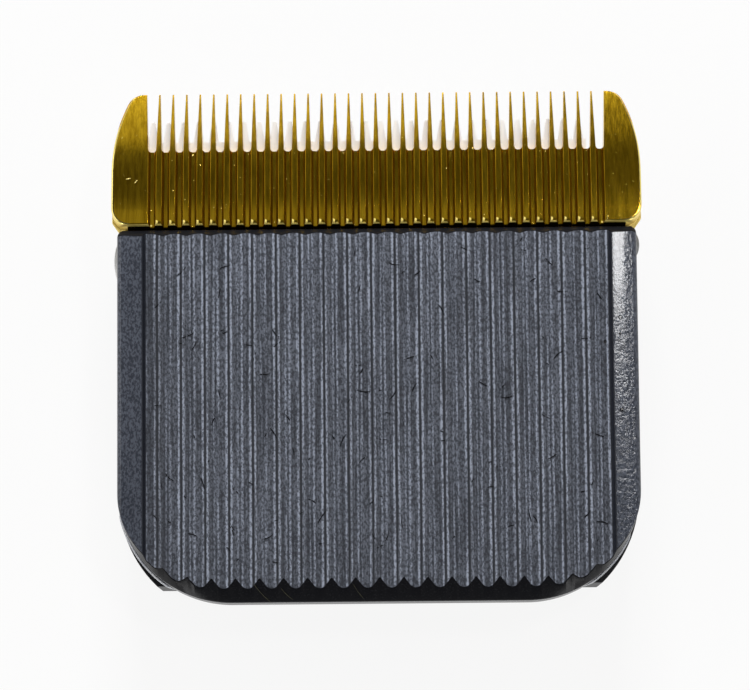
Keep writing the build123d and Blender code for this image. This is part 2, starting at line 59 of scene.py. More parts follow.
class Shade:
    """A shader value that takes part in Python sums: each operation adds one Math node."""

    def __init__(self, tree, socket):
        self.tree = tree
        self.socket = socket

    def math_node(self, operation, *terms):
        node = self.tree.nodes.new("ShaderNodeMath")
        node.operation = operation
        for entry, term in zip(node.inputs, terms):
            fill(self.tree, entry, term)
        return Shade(self.tree, node.outputs[0])

    def __add__(self, other):
        return self.math_node("ADD", self, other)

    def __sub__(self, other):
        return self.math_node("SUBTRACT", self, other)

    def __rsub__(self, other):
        return self.math_node("SUBTRACT", other, self)

    def __mul__(self, other):
        return self.math_node("MULTIPLY", self, other)

    def __abs__(self):
        return self.math_node("ABSOLUTE", self)

    __radd__ = __add__
    __rmul__ = __mul__


def fill(tree, entry, value):
    """Links a shade to a socket, or sets the socket to a plain value."""
    if isinstance(value, Shade):
        tree.links.new(value.socket, entry)
    else:
        entry.default_value = value


class Finish:
    """A material or a world in the making, and the shader that carries its look."""

    def __init__(self, name, kind="materials", shader="Principled BSDF"):
        self.block = getattr(bpy.data, kind).new(name)
        self.block.use_nodes = True
        self.tree = self.block.node_tree
        self.surface = self.tree.nodes[shader]

    def node(self, kind, settings, sockets, output=0):
        """Adds a node of any kind: its settings first, then the values or links of its sockets."""
        node = self.tree.nodes.new("ShaderNode" + kind)
        for name, value in settings.items():
            setattr(node, name, value)
        for name, value in sockets.items():
            fill(self.tree, node.inputs[name], value)
        return Shade(self.tree, node.outputs[output])

    def place(self, stretch=(1, 1, 1)):
        """Where a point lies on the piece, in millimetres, stretched along the axes."""
        spot = self.node("TexCoord", {}, {}, "Object")
        scale = tuple(factor / mm for factor in stretch)
        return self.node("VectorMath", {"operation": "MULTIPLY"}, {0: spot, 1: scale})

    def axes(self):
        """The three coordinates of a point on the piece, in millimetres."""
        place = self.place()
        return [self.node("SeparateXYZ", {}, {0: place}, axis) for axis in "XYZ"]

    def noise(self, scale, stretch=(1, 1, 1), detail=3.0, roughness=0.55):
        """Cloudy noise from 0 to 1; scale is in waves per millimetre."""
        return self.node("TexNoise", {}, {"Vector": self.place(stretch), "Scale": scale, "Detail": detail,
                                          "Roughness": roughness})

    def ramp(self, value, low, high, bottom=0.0, top=1.0):
        """A smooth rise from bottom to top while a value goes from low to high."""
        return self.node("MapRange", {"interpolation_type": "SMOOTHSTEP"},
                         {0: value, 1: low, 2: high, 3: bottom, 4: top})

    def mix(self, mask, low, high):
        """One colour where the mask is 0, the other where it is 1."""
        return self.node("Mix", {"data_type": "RGBA"}, {0: mask, 6: low, 7: high}, 2)

    def bump(self, height, distance, strength=1.0):
        """A surface normal that follows a height; distance is in millimetres."""
        return self.node("Bump", {}, {"Strength": strength, "Distance": distance * mm, "Height": height})

    def paint(self, sockets):
        """Sets or links the sockets of the shader, and hands back what was finished."""
        for name, value in sockets.items():
            fill(self.tree, self.surface.inputs[name], value)
        return self.block


def dress(node_name, material, edge_width):
    """Gives a CAD node its finish, and its sharp edges a small round, whose width is in millimetres."""
    node = nodes[node_name]
    node.data.materials.clear()
    node.data.materials.append(material)
    weld = node.modifiers.new("weld", "WELD")
    weld.merge_threshold = 1e-7
    rounding = node.modifiers.new("edges", "BEVEL")
    rounding.width = edge_width * mm
    rounding.segments = 2
    rounding.limit_method = "ANGLE"
    rounding.angle_limit = math.radians(35)


def moulded_nylon():
    """Black nylon with a fine spark texture, rubbed a little greyer in patches."""
    finish = Finish("moulded_nylon")
    grain = finish.noise(9.0, detail=4.0)
    rubbed = finish.ramp(finish.noise(0.35, detail=2.0), 0.45, 0.70)
    across = finish.axes()[0]
    left_ear = finish.ramp(across, -ear_pale_x, -ear_pale_x - ear_pale_fade)
    right_ear = finish.ramp(across, ear_pale_x, ear_pale_x + ear_pale_fade)
    facing = finish.node("NewGeometry", {}, {}, "Normal")
    upward = finish.ramp(finish.node("SeparateXYZ", {}, {0: facing}, "Z"), 0.1, 0.6)
    # The pale colour on the ears' upward faces is dust and a painted highlight, stronger on the left ear.
    dust_and_highlight = (left_ear + right_ear * 0.5) * upward * (0.6 + grain * 0.6)
    nylon = finish.mix(rubbed * 0.6 + grain * 0.3, frame_black, frame_grey)
    return finish.paint({
        "Base Color": finish.mix(dust_and_highlight, nylon, ear_dust_and_highlight),
        "Roughness": 0.36 + grain * 0.22,
        "Normal": finish.bump(grain, 0.016),
        "Specular IOR Level": 0.15,
    })


dress("rear_frame", moulded_nylon(), frame_edge)

# Tension spring
# A leaf stamped from hard spring steel, with two arms that press the carriage on to the comb. It is bright,
# with the rolling marks of the strip along its arms, and one screw holds it to the frame.
spring_steel = (0.56, 0.56, 0.55, 1)
spring_shadow = (0.40, 0.39, 0.38, 1)
spring_edge = 0.06


def rolled_steel(name, bright, dull, stretch, roughness):
    """Bare steel with drawn marks along one axis."""
    finish = Finish(name)
    marks = finish.noise(3.0, stretch, detail=5.0)
    stain = finish.noise(0.5, detail=2.0)
    return finish.paint({
        "Base Color": finish.mix(marks * 0.6 + stain * 0.4, dull, bright),
        "Metallic": 1.0,
        "Roughness": roughness + marks * 0.18,
        "Normal": finish.bump(marks, 0.006),
    })


strip_steel = rolled_steel("rolled_steel", spring_steel, spring_shadow, (4, 0.15, 4), 0.24)
dress("tension_spring", strip_steel, spring_edge)

# Screws
# Pan-headed screws, turned down from wire and zinc plated, with a cross recess for the driver. One holds the
# spring, two clamp the comb's tail, and two hold the cover's bosses; their shanks sit in the frame.
zinc_bright = (0.62, 0.62, 0.60, 1)
zinc_dull = (0.44, 0.44, 0.43, 1)
# Each kind's node, how many there are, the head's height and the shank's radius
screw_kinds = (("spring_screw", 1, 1.3, 1.0), ("comb_screws", 2, 1.5, 1.25), ("cover_screws", 2, 1.3, 1.0))
# The top of the head, as shares of its radius and its height
screw_crown = ((0, 1), (0.45, 0.985), (0.75, 0.94))
screw_sides = 48
recess_share = 0.62
recess_width_share = 0.20
recess_depth_share = 0.62
plated_zinc = rolled_steel("plated_zinc", zinc_bright, zinc_dull, (1, 1, 1), 0.26)


def add_piece(name, mesh, body):
    """Puts a finished mesh into the scene as a piece of one body."""
    piece = bpy.data.objects.new(name, mesh)
    bpy.context.scene.collection.objects.link(piece)
    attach(piece, body)
    return piece


def settle(name, bm, coats, sharp):
    """Makes a finished bmesh a smooth mesh with its coats, and with edges above an angle kept sharp."""
    mesh = bpy.data.meshes.new(name)
    bm.to_mesh(mesh)
    bm.free()
    for coat in coats:
        mesh.materials.append(coat)
    mesh.shade_smooth()
    mesh.set_sharp_from_angle(angle=math.radians(sharp))
    return mesh


def lathe(bm, outline, sides):
    """Turns an outline of (radius, height) points about the Z axis into a closed skin."""
    rings = []
    for radius, height in outline:
        if radius == 0:
            rings.append([bm.verts.new((0, 0, height))] * sides)
            continue
        angles = [2 * math.pi * side / sides for side in range(sides)]
        rings.append([bm.verts.new((radius * math.cos(a), radius * math.sin(a), height)) for a in angles])
    for ring, after in zip(rings, rings[1:]):
        for side in range(sides):
            corners = [ring[side], ring[side - 1], after[side - 1], after[side]]
            bm.faces.new(list(dict.fromkeys(corners)))


def cross_recess(head_radius, head_height):
    """The tapered cross that a driver presses into the head, as a mesh to cut with."""
    reach = recess_share * head_radius
    wing = recess_width_share * head_radius / 2
    depth = recess_depth_share * head_height
    plan = []
    for turn in range(4):
        spin = Matrix.Rotation(turn * math.pi / 2, 2)
        plan += [spin @ Vector(point) for point in ((wing, wing), (wing, reach), (-wing, reach))]
    mesh = bpy.data.meshes.new("recess")
    mouth = [(x, y, -head_height * 1.2) for x, y in plan]
    floor = [(x * 0.45, y * 0.45, -head_height + depth) for x, y in plan]
    count = len(plan)
    sides = [(i, (i + 1) % count, count + (i + 1) % count, count + i) for i in range(count)]
    mesh.from_pydata(mouth + floor, [], sides + [tuple(range(count))[::-1], tuple(range(count, 2 * count))])
    return bpy.data.objects.new("recess", mesh)


def screw_mesh(head_radius, head_height, shank_radius, shank_length):
    """One screw with its head under the XY plane: domed pan head with the recess, shank and blunt point."""
    dome = 0.35 * head_height
    bend = 0.22 * head_radius
    outline = [(reach * head_radius, -rise * head_height) for reach, rise in screw_crown]
    outline += [(head_radius - bend + bend * math.sin(a), -head_height + dome - dome * math.cos(a) * 0.8)
                for a in (0.3, 0.7, 1.1, math.pi / 2)]
    outline += [(head_radius, -0.05 * head_height), (head_radius * 0.985, 0), (shank_radius, 0)]
    outline += [(shank_radius, shank_length * 0.96), (shank_radius * 0.8, shank_length), (0, shank_length)]
    bm = bmesh.new()
    lathe(bm, outline, screw_sides)
    bmesh.ops.recalc_face_normals(bm, faces=bm.faces)
    mesh = bpy.data.meshes.new("screw")
    bm.to_mesh(mesh)
    bm.free()
    blank = bpy.data.objects.new("screw_blank", mesh)
    recess = cross_recess(head_radius, head_height)
    for item in (blank, recess):
        bpy.context.scene.collection.objects.link(item)
    press = blank.modifiers.new("recess", "BOOLEAN")
    press.operation = "DIFFERENCE"
    press.object = recess
    press.solver = "EXACT"
    made = bpy.data.meshes.new_from_object(blank.evaluated_get(bpy.context.evaluated_depsgraph_get()))
    for item in (blank, recess):
        bpy.data.objects.remove(item)
    return made


def add_screws(node_name, places, sizes):
    """Stands detailed screws in the places of a CAD node's plain ones."""
    bm = bmesh.new()
    single = screw_mesh(*sizes)
    for spot in places:
        start = len(bm.verts)
        bm.from_mesh(single)
        bm.verts.ensure_lookup_table()
        bmesh.ops.translate(bm, verts=bm.verts[start:], vec=spot)
    mesh = settle(node_name + "_turned", bm, [plated_zinc], 32)
    piece = add_piece(node_name + "_turned", mesh, "holder")
    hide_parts(node_name)


def screw_places(node_name, head_height, count):
    """Where the screws of a CAD node stand, and how long their shanks are, from the node's box."""
    low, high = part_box(node_name)
    seat = low.z + head_height
    head_radius = (high.y - low.y) / 2
    middle = (low.y + high.y) / 2
    sides = (low.x + head_radius, high.x - head_radius)[:count]
    return [(x, middle, seat) for x in sides], head_radius, high.z - seat


for node_name, count, head_height, shank_radius in screw_kinds:
    places, head_radius, shank_length = screw_places(node_name, head_height * mm, count)
    add_screws(node_name, places, (head_radius, head_height * mm, shank_radius * mm, shank_length))

# Cutter blade
# The moving blade: white zirconia ceramic, sintered and then ground, so it is matt and cool white, with
# faint grinding lines across it. It lies flat on the comb's back, and its teeth show through the comb's gaps.
ceramic_white = (0.92, 0.955, 1.0, 1)
ceramic_shade = (0.89, 0.925, 0.97, 1)
cutter_edge = 0.03


def ground_ceramic():
    """Fine ceramic with grinding lines along the row of teeth."""
    finish = Finish("ground_ceramic")
    lines = finish.noise(2.0, (0.2, 6, 6), detail=4.0)
    cloud = finish.noise(0.3, detail=2.0)
    return finish.paint({
        "Base Color": finish.mix(lines * 0.5 + cloud * 0.3, ceramic_shade, ceramic_white),
        "Roughness": 0.34 + lines * 0.2,
        "Normal": finish.bump(lines, 0.005),
    })


dress("cutter_blade", ground_ceramic(), cutter_edge)

# Cutter carriage
# The drive follower on the cutter's back, moulded from natural acetal. The clipper's drive pin runs in its
# fork, whose walls are polished by it, and two oblong pegs locate the ceramic blade.
acetal_white = (0.74, 0.73, 0.68, 1)
acetal_worn = (0.55, 0.53, 0.47, 1)
carriage_edge = 0.15


def natural_acetal():
    """Milky acetal, a little dirty where oil and hair collect."""
    finish = Finish("natural_acetal")
    dirt = finish.ramp(finish.noise(0.6, detail=5.0), 0.52, 0.75)
    grain = finish.noise(8.0)
    return finish.paint({
        "Base Color": finish.mix(dirt, acetal_white, acetal_worn),
        "Roughness": 0.38 + grain * 0.15,
        "Normal": finish.bump(grain, 0.010),
    })


dress("cutter_carriage", natural_acetal(), carriage_edge)

# Comb blade
# The fixed blade: hardened steel with a gold nitride coat, ground to a crowned face. A wheel saws its gaps
# and leaves a groove on down the face, and two broad tabs end the row. Its tail is screwed to the frame.
comb_pitch = 1.25
comb_teeth = 33
comb_half = 24.36
tip_y = 23.65
root_y = 18.05
face_low_y = 11.20
comb_low_y = 10.75
seat_z = 8.80
tail_z = 10.00
tip_z = 9.15
face_low_z = 11.35
step_z = 10.55
face_crown = 0.45
tip_gap = 0.555
root_gap = 0.375
groove_floor = 0.150
groove_depth = 0.50
gap_round = root_gap - groove_floor
edge_round = 0.014
edge_flat = 0.03
# The pale painted highlight at the lower left of each rib and low on each tab's rim: its flat's width, its
# length, taper and reach below the face
highlight_width = 0.17
highlight_length = 0.34
highlight_taper = 0.08
highlight_low = 0.10
# How far up from the face's lower end the right edge of each rib gets painted shade
right_shade_length = 1.70
end_round = 0.24
tab_flat = 0.25
nose_radius = 1.60
nose_turn = math.radians(65)
tab_corner = 1.70
tab_rim = 0.17
tab_turn_x = 1.45
tab_turn_y = 1.60
tab_low_y = face_low_y - 0.10
tail_half = 22.00
tail_end_y = 1.65
tail_step = 0.1
shoulder_y = 11.50
shoulder_slant = math.radians(55)
tail_corner = 1.50
tail_hole_x = 17.40
tail_hole_y = 4.65
tail_hole_radius = 1.30
face_chord = math.hypot(tip_y - face_low_y, face_low_z - tip_z)
crown_radius = face_chord ** 2 / (8 * face_crown) + face_crown / 2
crown_y = (tip_y + face_low_y) / 2 - (face_low_z - tip_z) / face_chord * (crown_radius - face_crown)
crown_z = (tip_z + face_low_z) / 2 - (tip_y - face_low_y) / face_chord * (crown_radius - face_crown)
tab_edge_x = (comb_teeth + 1) / 2 * comb_pitch - comb_pitch / 2 + tip_gap
nose_x = tab_edge_x + tab_flat
nose_end_x = nose_x + nose_radius * math.sin(nose_turn)
nose_end_y = tip_y - nose_radius * (1 - math.cos(nose_turn))
flare_radius = (comb_half - nose_end_x) / (1 - math.sin(nose_turn))
flare_end_y = nose_end_y - flare_radius * math.cos(nose_turn)
wall_y = root_y + gap_round
# The comb's material slots, and the strips of its skin, counted across from the wall of the left or inner gap
ground_coat, edge_coat, matt_coat, sawn_and_shade_coat, highlight_coat = range(5)
flank_columns = (2, 10)
# The left edge strips and the top strip, whose lower ends carry the painted highlight
highlight_columns = (3, 4, 5)
foot_column = 6
# The right edge strips, whose lower ends carry painted shade
right_shade_columns = (7, 8, 9)
rim_column = 12
side_column = 15


def spread(start, end, count):
    """Evenly spaced values from start to end, both included."""
    return [start + (end - start) * step / (count - 1) for step in range(count)]


def face_height(y):
    """Height of the crowned face."""
    return crown_z + math.sqrt(crown_radius ** 2 - (y - crown_y) ** 2)


def bevel_height(y):
    """Height of the bevel at the face's lower end."""
    return face_low_z - (face_low_y - y) * (face_low_z - step_z) / (face_low_y - comb_low_y)


def contour_reach(y):
    """Outer edge of a tab's upper half: round nose, long flare and straight side."""
    if y > nose_end_y:
        return nose_x + math.sqrt(max(0, nose_radius ** 2 - (y - tip_y + nose_radius) ** 2))
    if y > flare_end_y:
        return comb_half - flare_radius + math.sqrt(flare_radius ** 2 - (y - flare_end_y) ** 2)
    return comb_half


def corner_reach(y, low, width, height):
    """Outer edge of a tab whose lower corner is a quarter round that ends at a low edge."""
    drop = min(1, max(0, (low + height - y) / height))
    return contour_reach(y) - width * (1 - math.sqrt(1 - drop ** 2))


def upper_rows():
    """Cross-sections from the tips to the roots: place, face height, half width of the gap."""
    rows = [(tip_y, face_height(tip_y) - edge_round, tip_gap + edge_round)]
    upper = [tip_y - edge_round]
    upper += [tip_y - nose_radius * (1 - math.cos(a)) for a in spread(0.25, nose_turn, 6)]
    upper += spread(nose_end_y - 0.5, wall_y + 0.4, 8)
    for y in upper:
        gap = root_gap + (tip_gap - root_gap) * (y - wall_y) / (tip_y - wall_y)
        rows.append((y, face_height(y), gap))
    for turn in spread(math.pi / 2, 0, 6):
        y = wall_y - gap_round * math.cos(turn)
        rows.append((y, face_height(y), groove_floor + gap_round * math.sin(turn)))
    return rows


def corner_curve(t, start, corner, end):
    """A value on the curve that rounds a corner off, from its start to its end."""
    return (1 - t) ** 2 * start + 2 * t * (1 - t) * corner + t ** 2 * end


def rib_rows():
    """Cross-sections of the ribs below the roots, over their rounded ends and down the bevel."""
    round_top = face_low_y + end_round
    round_low = face_low_y - 0.55 * end_round
    # Rows also mark where the painted highlight at the lower left starts and tapers
    places = [root_y, *spread(root_y - 0.4, face_low_y + 0.8, 9), face_low_y + highlight_length,
              face_low_y + highlight_length - highlight_taper, round_top]
    rows = [(y, face_height(y), 0) for y in places]
    for t in spread(0.2, 1, 5):
        y = corner_curve(t, round_top, face_low_y, round_low)
        z = corner_curve(t, face_height(round_top), face_low_z, bevel_height(round_low))
        rows.append((y, z, 0))
    rows += [(y, bevel_height(y), 0) for y in spread(round_low - 0.06, comb_low_y, 5)]
    return rows + [(comb_low_y, tail_z, 0)]


def tab_rows():
    """Cross-sections of a tab below the roots: its round corner, rolled rim and steep lower side."""
    flat_low = tab_low_y + tab_rim
    corner_top = tab_low_y + tab_turn_y
    places = [root_y, *spread(root_y - 0.4, corner_top, 8)]
    places += [corner_top - (corner_top - flat_low) * math.sin(a) for a in spread(0.2, math.pi / 2, 9)]
    rows = [(y, face_height(y), 0) for y in places]
    rim_z = face_height(flat_low) - tab_rim
    for turn in spread(0.3, math.pi / 2, 5):
        rows.append((flat_low - tab_rim * math.sin(turn), rim_z + tab_rim * math.cos(turn), 0))
    rows += [(y, rim_z + (step_z - rim_z) * (tab_low_y - y) / (tab_low_y - comb_low_y), 0)
             for y in spread(tab_low_y - 0.08, comb_low_y, 4)]
    return rows + [(comb_low_y, tail_z, 0)]


def gap_side(y, top, gap, flat=edge_flat):
    """One side of a gap or groove, from the underside up: distance from its middle, and height."""
    floor_z = face_height(max(y, face_low_y)) - groove_depth
    depth = max(0.002, min(top - floor_z, groove_depth))
    if gap >= root_gap:
        low = (gap, top - 2 * edge_round)
        edge = gap
    else:
        foot = max(gap, groove_floor)
        edge = groove_floor + gap_round * depth / groove_depth
        low = (foot, top - depth * (edge - foot) / max(1e-6, edge - groove_floor))
    nick = min(edge_round, 0.5 * (top - low[1]))
    lean = (edge - low[0]) / max(1e-6, top - low[1])
    return [
        (gap, seat_z),
        (gap, low[1]),
        low,
        (edge - lean * nick, top - nick),
        (edge + 0.3 * edge_round, top - 0.3 * nick),
        (edge + edge_round, top),
        (edge + edge_round + flat, top),
    ]


def skin(bm, points, holes, coat_at, outer_wall=False):
    """Joins rows of points into a skin, closed underneath; a row without a through gap gets no gap wall."""
    grid = [[bm.verts.new(Vector(point) * mm) for point in row] for row in points]
    last = len(points[0]) - 1
    for row, (near, far) in enumerate(zip(grid, grid[1:])):
        through = holes[row] or holes[row + 1]
        for column in range(last):
            gap_wall = column == 0 or (column == last - 1 and not outer_wall)
            if through or not gap_wall:
                face = bm.faces.new((near[column], near[column + 1], far[column + 1], far[column]))
                face.material_index = coat_at(points[row][column][1], column)
        bm.faces.new((near[last], near[0], far[0], far[last]))
    bm.faces.new(grid[0]).material_index = sawn_and_shade_coat


def rib_coat(y, column):
    """Which coat a part of a rib has: painted shade on the groove walls and the lower right edge, sawn at the
    tip, a painted highlight at the lower left, or ground.
    """
    # Painted shade on the groove walls; the tip is sawn
    if column in flank_columns or y > tip_y - 2 * edge_round:
        return sawn_and_shade_coat
    # Painted shade on the right edge near the lower end
    if column in right_shade_columns and y < face_low_y + right_shade_length:
        return sawn_and_shade_coat
    if y > face_low_y + highlight_length or y < face_low_y - highlight_low:
        return ground_coat
    # Painted highlight on the left edge and the foot near the lower end
    foot = column == foot_column and y < face_low_y + 0.3 * highlight_low
    return highlight_coat if column in highlight_columns or foot else ground_coat


def tab_coat(y, column):
    """Which coat a part of a tab has: painted shade on the groove wall, sawn at the tip, matt on its side, a
    painted highlight low on its rim, bright on its rim, or ground.
    """
    if column == flank_columns[0] or y > tip_y - 2 * edge_round:
        return sawn_and_shade_coat
    if column > side_column:
        return matt_coat
    # Painted highlight along the low part of the rim
    if abs(y - tab_low_y - 0.2 * tab_rim) < 0.3 * tab_rim:
        return highlight_coat
    return edge_coat if column >= rim_column else ground_coat


def add_tooth(bm, left):
    """One needle tooth with its rib, from the middle of one gap to the middle of the next."""
    rows = upper_rows() + rib_rows()
    right = left + comb_pitch
    points = []
    for y, top, gap in rows:
        # A wide flat on the left near the lower end carries the painted highlight
        highlight_side = gap_side(y, top, gap, highlight_width if y < face_low_y + highlight_length else edge_flat)
        row = [(left + x, y, z) for x, z in highlight_side]
        row += [(right - x, y, z) for x, z in reversed(gap_side(y, top, gap))]
        points.append(row)
    skin(bm, points, [gap for _, _, gap in rows], rib_coat)


def add_tab(bm, hand):
    """The broad tab at one end of the row, with a rolled rim along its outer edge."""
    rows = upper_rows() + tab_rows()
    last_gap = comb_teeth / 2 * comb_pitch
    points = []
    for y, top, gap in rows:
        side = [(last_gap + x, z) for x, z in gap_side(y, top, gap)]
        reach = corner_reach(y, tab_low_y, tab_turn_x, tab_turn_y)
        face_reach = corner_reach(y, tab_low_y + tab_rim, tab_turn_x, tab_turn_y - tab_rim) - tab_rim
        start = side[-1][0]
        run = face_reach - start
        side += [(start + run * share, top) for share in (0.12, 0.35, 0.6, 0.85, 0.97, 1)]
        rim_low = max(top - tab_rim, seat_z + 0.05)
        side += [(face_reach + (reach - face_reach) * math.sin(a), top - (top - rim_low) * (1 - math.cos(a)))
                 for a in spread(0.4, math.pi / 2, 4)]
        base_reach = corner_reach(y, comb_low_y, tab_corner, tab_corner)
        side += [(base_reach, min(top, tail_z)), (side[-1][0], seat_z)]
        points.append([(hand * x, y, z) for x, z in side])
    skin(bm, points, [gap for _, _, gap in rows], tab_coat, outer_wall=True)


def plate(name, outline, holes, low, high, edge):
    """A flat plate with rounded edges, from its outline and its round holes, as a mesh."""
    curve = bpy.data.curves.new(name, "CURVE")
    curve.dimensions = "2D"
    curve.fill_mode = "BOTH"
    curve.extrude = (high - low) / 2 * mm - edge * mm
    curve.bevel_depth = edge * mm
    curve.bevel_resolution = 1
    curve.offset = -edge * mm
    rings = [[(x + radius * math.cos(a), y + radius * math.sin(a)) for a in spread(0, 2 * math.pi, 33)[:-1]]
             for x, y, radius in holes]
    for ring in [outline, *rings]:
        spline = curve.splines.new("POLY")
        spline.points.add(len(ring) - 1)
        for point, (x, y) in zip(spline.points, ring):
            point.co = (x * mm, y * mm, 0, 1)
        spline.use_cyclic_u = True
    item = bpy.data.objects.new(name, curve)
    mesh = bpy.data.meshes.new_from_object(item)
    mesh.transform(Matrix.Translation((0, 0, (low + high) / 2 * mm)))
    bpy.data.objects.remove(item)
    return mesh


def comb_tail():
    """The thin base of the comb: slanted shoulders and the tail behind the cover."""
    shoulder_low_y = shoulder_y - (comb_half - tail_half) * math.tan(shoulder_slant)
    bend = [(tail_half - tail_corner * (1 - math.cos(a)), tail_end_y + tail_corner * (1 - math.sin(a)))
            for a in spread(0, math.pi / 2, 6)]
    corner_y = comb_low_y + tab_corner
    right = [(comb_half - tail_step, face_low_y + 2), (comb_half - tail_step, corner_y)]
    right += [(comb_half, corner_y - tail_step), (comb_half, shoulder_y), (tail_half, shoulder_low_y), *bend]
    left = [(-x, y) for x, y in reversed(right)]
    holes = [(hand * tail_hole_x, tail_hole_y, tail_hole_radius) for hand in (-1, 1)]
    tail = plate("comb_tail", right + left, holes, seat_z, tail_z, 0.06)
    for face in tail.polygons:
        face.material_index = matt_coat
    return tail


gold_bright = (0.82, 0.515, 0.024, 1)
gold_deep = (0.50, 0.29, 0.008, 1)
# Dark brown: painted shade on the groove walls and the ribs' lower right edges; also the sawn tips
gold_sawn_and_shade = (0.11, 0.055, 0.002, 1)
gold_speck = (0.96, 0.88, 0.42, 1)
gold_edge = (0.96, 0.83, 0.32, 1)
gold_matt = (0.90, 0.76, 0.30, 1)
# Pale cream, nearly not metallic: a painted highlight at the ribs' lower left and on the tabs' low rims
gold_painted_highlight = (1.0, 0.84, 0.26, 1)
# Each scratch's middle, its angle and its length
tab_scratches = ((-22.80, 15.46, 14, 0.60), (-22.10, 15.18, 52, 0.52))
scratch_width = 0.055
speck_fade = (20.8, 19.4)
brush_fade = (11.3, 12.6)


def scratch(finish, axes, place):
    """A mask that is 1 on a short straight scratch, given by its middle, its angle and its length."""
    x, y, angle, length = place
    lean = math.radians(angle)
    along = (axes[0] - x) * math.cos(lean) + (axes[1] - y) * math.sin(lean)
    off = (axes[1] - y) * math.cos(lean) - (axes[0] - x) * math.sin(lean)
    masks = []
    for value, reach in ((along, length / 2), (off, scratch_width)):
        masks.append(finish.ramp(abs(value), reach, 0.4 * reach))
    return masks[0] * masks[1]


def gold_coat():
    """Gold nitride over ground steel: grinding lines along the teeth, pale specks and two scratches."""
    finish = Finish("gold_coat")
    axes = finish.axes()
    brush = finish.noise(1.1, (2.6, 0.05, 2.6), detail=4.0, roughness=0.6)
    lines = finish.noise(2.2, (3, 0.05, 3), detail=5.0, roughness=0.7)
    tone = finish.noise(0.45, (1, 0.35, 1), detail=3.0)
    speck = finish.ramp(finish.noise(4.6, (1, 0.8, 1), detail=2.0), 0.70, 0.78)
    marks = speck * finish.ramp(axes[1], *speck_fade) * 0.6
    for place in tab_scratches:
        marks = marks + scratch(finish, axes, place) * 0.7
    thickness = brush * 0.7 + lines * 0.3 + tone * 0.15
    coat = finish.mix(finish.ramp(thickness, 0.42, 0.72), gold_deep, gold_bright)
    ground = (lines + brush) * finish.ramp(axes[1], *brush_fade)
    return finish.paint({
        "Base Color": finish.mix(marks, coat, gold_speck),
        "Metallic": 1.0,
        "Roughness": 0.10 + lines * 0.08 + marks * 0.4,
        "Normal": finish.bump(ground + marks * 1.5, 0.005),
    })


def thin_gold(name, colour, worn_colour, roughness, grain_size, metallic=1.0):
    """The coat where it is thin on edges, sawn at the tips, left matt on the tail, a dark painted shade, or a
    pale painted highlight.
    """
    finish = Finish(name)
    grain = finish.noise(grain_size, detail=4.0)
    return finish.paint({
        "Base Color": finish.mix(grain * 0.5, colour, worn_colour),
        "Metallic": metallic,
        "Roughness": roughness + grain * 0.12,
        "Normal": finish.bump(grain, 0.004),
    })


def keep_flat(piece):
    """Makes large faces shade flat, so that only the small rounds beside them bend the light."""
    flat_faces = piece.modifiers.new("flat_faces", "WEIGHTED_NORMAL")
    flat_faces.keep_sharp = True
    flat_faces.weight = 100


comb_bm = bmesh.new()
for tooth in range(comb_teeth):
    add_tooth(comb_bm, (tooth - comb_teeth / 2) * comb_pitch)
for hand in (-1, 1):
    add_tab(comb_bm, hand)
bmesh.ops.remove_doubles(comb_bm, verts=comb_bm.verts, dist=1e-7)
bmesh.ops.recalc_face_normals(comb_bm, faces=comb_bm.faces)
comb_bm.from_mesh(comb_tail())
comb_coats = (
    gold_coat(),
    thin_gold("gold_edge", gold_edge, gold_bright, 0.14, 6.0),
    thin_gold("gold_matt", gold_matt, gold_bright, 0.50, 3.0),
    thin_gold("gold_sawn_and_shade", gold_sawn_and_shade, gold_deep, 0.35, 5.0),
    thin_gold("gold_painted_highlight", gold_painted_highlight, gold_bright, 0.34, 4.0, 0.15),
)
comb = add_piece("comb", settle("comb", comb_bm, comb_coats, 38), "holder")
keep_flat(comb)
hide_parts("comb_blade")

# Front cover
# The face of the set, moulded in black nylon: straight ribs in a rounded wave run from end to end between two
# plain margins, with a polished bevel at the heel and a greasy one beside the comb. A grey film of hair dust
# has dried on to the ribs, with painted highlights and a painted dark line in stripes along each rib, and
# painted shade on the margin steps and beside the left margin. Screws from behind hold it, over the comb's
# tail.
cover_half = 23.80
cover_top_y = 10.65
heel_y = -23.65
bevel_z = 10.93
crest_z = 12.00
valley_z = 11.55
rib_pitch = 2.175
ribs_each_side = 9
rib_rounding = 0.835
crest_share = 0.14
margin_width = 2.60
margin_step = 0.25
margin_fall = 0.22
margin_round = 0.55
heel_radius = 10.40
heel_face_radius = 8.10
heel_bevel = 2.18
heel_draft = 0.10
top_bevel = 0.65
top_corner = 0.60
cover_rim = 1.50
lip = 0.07
bevel_face = 0.8
first_face = 4
last_face = 11
# The cover's material slots
dusty_coat, glossy_coat, shaded_coat = range(3)
rib_height = crest_z - valley_z
rib_radii = rib_rounding * (rib_pitch ** 2 / 4 + rib_height ** 2) / (2 * rib_height)
rib_flank = math.sqrt(rib_pitch ** 2 / 4 + (rib_radii - rib_height) ** 2 - rib_radii ** 2)
rib_angle = math.atan2(rib_pitch / 2, rib_radii - rib_height) - math.atan2(rib_flank, rib_radii)
crest_radius = crest_share * rib_radii
valley_radius = rib_radii - crest_radius


